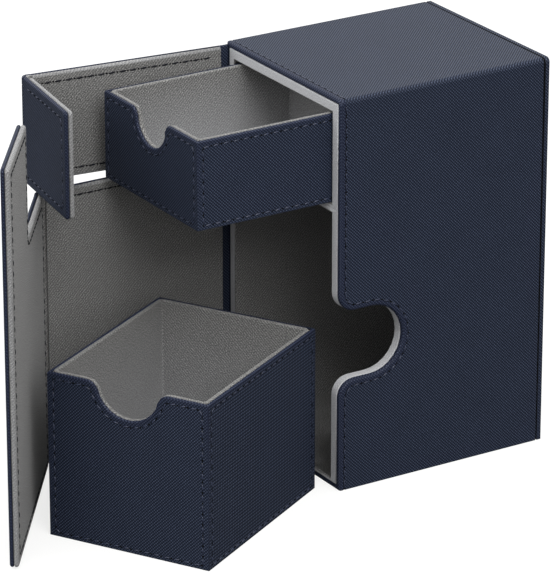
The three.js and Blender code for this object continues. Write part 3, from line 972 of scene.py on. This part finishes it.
def make_wrap(tier, corners, place, door_length, bend):
    """The leather of a door and its flap, one sheet folded between them, and its stitches."""
    size = chosen("panels")
    reach = size.fold_reach
    outer = -size.thickness / 2
    bm, line = make_slab(corners, outer, outer + size.leather - SEAM / 2, PRESSED, [(reach, -1)])
    fold_slab(bm, door_length, bend, place)
    door, flap = tier + "_door", tier + "_flap"
    nodes = [door + "_leather", flap + "_leather", flap + "_fold"]
    piece = make_cover(bm, tier + "_door_and_flap_leather", "navy_leather", nodes, skin=False)
    fold, half = Vector((door_length, 0, 0)), Vector((reach, 0, 0))
    start, end = place @ (fold - half), place @ bent(fold + half, door_length, bend, reach)
    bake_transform(piece, door, flap, start=start, end=end)

    on_door = parts_of(line, lambda p: reach + size.hem < p.x < door_length - 2 * reach)
    make_stitching(door + "_leather_stitching", door, on_door, place)
    on_flap = parts_of(line, lambda p: p.x > door_length + 2 * reach)
    spin = Matrix.Rotation(bend, 3, "Z")
    folded = [[(bent(p, door_length, bend, reach), spin @ n) for p, n in run] for run in on_flap]
    make_stitching(flap + "_leather_stitching", flap, folded, place)


def make_panel_lining(body, corners, place, cuts=()):
    """The lining side of a door or a flap and its stitches."""
    size = chosen("panels")
    outer = size.thickness / 2
    seam = -outer + size.leather + SEAM / 2
    bm, line = make_slab(corners, outer, seam, STRETCHED, cuts)
    lay_weave(bm, fronts=1)
    bm.transform(place)
    nodes = [body + "_lining"]
    piece = make_cover(bm, body + "_lining_cloth", "grey_lining", nodes, skin=False)
    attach(piece, body)
    runs = parts_of(line, lambda p: all(side * (place - p.x) > size.hem for place, side in cuts))
    make_stitching(body + "_lining_stitching", body, runs, place, on_lining=True)


def make_fold(name, bodies, outer, seam, span, place, bend, slot, nodes):
    """One side of a soft fold between two bodies: a strip that bends about the pivot."""
    reach = chosen("panels").fold_reach
    corners = rectangle(-3 * reach, 3 * reach, *span)
    bm, _ = make_slab(corners, outer, seam, STRETCHED, [(-reach, -1), (reach, 1)], stitched=False)
    fold_slab(bm, 0, bend, place, ends=False)
    piece = make_cover(bm, name, slot, nodes, skin=False)
    half = Vector((reach, 0, 0))
    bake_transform(piece, *bodies, start=place @ -half, end=place @ bent(half, 0, bend, reach))


def make_door(tier, flap_corners):
    """A door, its flap and their folds. Corners are measured along the flap from its pivot."""
    size = chosen("panels")
    door, flap = tier + "_door", tier + "_flap"
    door_turn = heading(pivot_of(door), pivot_of(flap))
    magnet_low, magnet_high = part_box(flap + "_magnet")
    flap_turn = heading(pivot_of(flap), (magnet_low + magnet_high) / 2)
    bend = flap_turn - door_turn
    door_length = (pivot_of(flap) - pivot_of(door)).length
    span = [corner.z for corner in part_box(door + "_leather")]
    reach = size.fold_reach
    door_place = hinge_place(door, door_turn)
    before, past = -3 * size.hem, door_length + 3 * size.hem
    sheet = [(door_length + x, z) for x, z in flap_corners[1:-1]]
    sheet = [(before, span[0]), *sheet, (before, span[1])]
    make_wrap(tier, sheet, door_place, door_length, bend)

    face = rectangle(before, past, *span)
    make_panel_lining(door, face, door_place, [(reach, -1), (door_length - reach, 1)])
    make_panel_lining(flap, flap_corners, hinge_place(flap, flap_turn))

    outer = -size.thickness / 2
    seam = outer + size.leather
    closed, lean = hinge_place(door, -math.pi / 2), door_turn + math.pi / 2
    layer, fold = (outer, seam - SEAM / 2, span, closed, lean), [door + "_fold"]
    make_fold(door + "_hinge_leather", ("case", door), *layer, "navy_leather", fold)
    layer = (CREASE_LEVEL, seam + SEAM / 2, span, hinge_place(flap, door_turn), bend)
    make_fold(flap + "_crease_lining", (door, flap), *layer, "grey_lining", [])


class CARDBOX_OT_doors(bpy.types.Operator):
    """Covers, lines, folds and stitches both doors, the upper flap and the L-shaped lower flap"""

    bl_idname = "card_box.doors"
    bl_label = "Doors and flaps"

    def execute(self, context):
        size = chosen("panels")
        low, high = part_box("upper_flap_leather")
        near, far = size.fold_reach, size.upper_flap_end
        make_door("upper", rectangle(near, far, low.z, high.z))
        low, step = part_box("lower_door_leather")
        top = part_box("lower_flap_leather")[1].z
        rise, far = size.strip_start, size.lower_flap_end
        strip = [(far, low.z), (far, top), (rise, top), (rise, step.z)]
        make_door("lower", [(near, low.z), *strip, (near, step.z)])
        return {"FINISHED"}


class CARDBOX_OT_boards_and_magnets(bpy.types.Operator):
    """Finishes the boards and magnets inside the walls"""

    bl_idname = "card_box.boards_and_magnets"
    bl_label = "Boards and magnets"

    def execute(self, context):
        look = chosen("finishes")
        board, magnet = grey_board(look.board), nickel_plate(look.magnet)
        for name, node in frame["nodes"].items():
            if name.endswith("_board") or "magnet" in name:
                node.data.materials.clear()
                node.data.materials.append(magnet if "magnet" in name else board)
        return {"FINISHED"}


class CARDBOX_OT_stage(bpy.types.Operator):
    """Sets the floor, the lights, the white surroundings and the camera"""

    bl_idname = "card_box.stage"
    bl_label = "Stage"

    def execute(self, context):
        settings = chosen("stage")
        self.make_floor(settings)
        self.make_world(settings)
        middle = Vector((0.0, -0.04, 0.06))
        for name, watts, size, away in (
            ("Top light", settings.top_light, 0.9, (0.1, -0.1, 1.0)),
            ("Side light", settings.side_light, 0.7, (1.0, -0.2, 0.9)),
            ("Rear light", settings.rear_light, 2.5, (-1.6, 1.05, 1.0)),
        ):
            data = bpy.data.lights.new(name, "AREA")
            data.energy, data.shape, data.size = watts, "DISK", size
            light = bpy.data.objects.new(name, data)
            light.location = middle + Vector(away)
            light.rotation_euler = (-Vector(away)).to_track_quat("-Z", "Y").to_euler()
            context.scene.collection.objects.link(light)
        self.make_camera(context)
        return {"FINISHED"}

    def make_floor(self, settings):
        """A floor that looks near white, keeps the shadow and throws little light back."""
        bm = bmesh.new()
        bmesh.ops.create_circle(bm, cap_ends=True, radius=8, segments=96)
        material, tree = material_and_tree("Pale floor")
        seen = add_node(tree, "LightPath").outputs["Is Camera Ray"]
        dim = add_node(tree, "BsdfDiffuse", {"Color": (0.12, 0.12, 0.12, 1)})
        shaded = add_node(tree, "BsdfDiffuse", {"Color": (0.2, 0.2, 0.2, 1)})
        glow = add_node(tree, "Emission", {"Color": (*settings.floor, 1), "Strength": 0.8})
        lit = add_node(tree, "AddShader", {0: shaded, 1: glow})
        both = add_node(tree, "MixShader", {0: seen, 1: dim, 2: lit})
        add_node(tree, "OutputMaterial", {"Surface": both})
        floor = make_piece(bm, "floor", [material])

    def make_world(self, settings):
        """Light from all round, stronger overhead and in front. The camera sees plain white."""
        world = bpy.data.worlds.new("White surroundings")
        bpy.context.scene.world = world
        world.use_nodes = True
        tree = world.node_tree
        tree.nodes.clear()
        seen = add_node(tree, "LightPath").outputs["Is Camera Ray"]
        towards = add_node(tree, "TexCoord").outputs["Generated"]
        direction = add_node(tree, "SeparateXYZ", {"Vector": towards}).outputs
        ends = {"To Min": settings.ambient * 0.42, "To Max": settings.ambient}
        rising = add_node(tree, "MapRange", {"Value": direction["Z"], **ends})
        ends = {"From Min": -1.0, "To Min": 1.4, "To Max": 0.55}
        forwards = add_node(tree, "MapRange", {"Value": direction["Y"], **ends})
        strength = add_node(tree, "Math", {0: rising, 1: forwards}, operation="MULTIPLY")
        around = add_node(tree, "Background", {"Color": (1, 1, 1, 1), "Strength": strength})
        white = add_node(tree, "Background", {"Color": (1, 1, 1, 1), "Strength": 1.0})
        both = add_node(tree, "MixShader", {0: seen, 1: around, 2: white})
        add_node(tree, "OutputWorld", {"Surface": both})

    def make_camera(self, context):
        data = bpy.data.cameras.new("Camera")
        data.lens = CAMERA_LENS
        data.clip_start, data.clip_end = 0.05, 50.0
        camera = bpy.data.objects.new("Camera", data)
        camera.location = CAMERA_PLACE
        camera.rotation_euler = (math.pi / 2 - CAMERA_PITCH, 0, CAMERA_AZIMUTH)
        context.scene.collection.objects.link(camera)
        context.scene.camera = camera


class CARDBOX_PT_panel(bpy.types.Panel):
    """Builds the card box piece by piece"""

    bl_idname = "CARDBOX_PT_panel"
    bl_label = "Card Box"
    bl_space_type = "VIEW_3D"
    bl_region_type = "UI"
    bl_category = "Card Box"

    def draw(self, context):
        for operator in OPERATORS:
            self.layout.operator(operator.bl_idname)
        for name in GROUPS:
            box = self.layout.box()
            group = chosen(name)
            for key in group.__annotations__:
                box.prop(group, key)


GROUPS = {
    "case": CaseSizes,
    "panels": PanelSizes,
    "trays": TraySizes,
    "stitches": StitchSizes,
    "finishes": Finishes,
    "stage": StageSettings,
}
OPERATORS = [
    CARDBOX_OT_stage,
    CARDBOX_OT_case_leather,
    CARDBOX_OT_case_linings,
    CARDBOX_OT_doors,
    CARDBOX_OT_trays,
    CARDBOX_OT_boards_and_magnets,
]


def register():
    for made in [*GROUPS.values(), *OPERATORS, CARDBOX_PT_panel]:
        bpy.utils.register_class(made)
    for name, group in GROUPS.items():
        setattr(bpy.types.Scene, "card_box_" + name, PointerProperty(type=group))


def unregister():
    for name in GROUPS:
        delattr(bpy.types.Scene, "card_box_" + name)
    for made in reversed([*GROUPS.values(), *OPERATORS, CARDBOX_PT_panel]):
        bpy.utils.unregister_class(made)


def main():
    register()
    bpy.context.scene.view_settings.view_transform = "Standard"
    bpy.ops.card_box.stage()
    bpy.ops.card_box.case_leather()
    bpy.ops.card_box.case_linings()
    bpy.ops.card_box.doors()
    bpy.ops.card_box.trays()
    bpy.ops.card_box.boards_and_magnets()


if __name__ == "__main__":
    main()
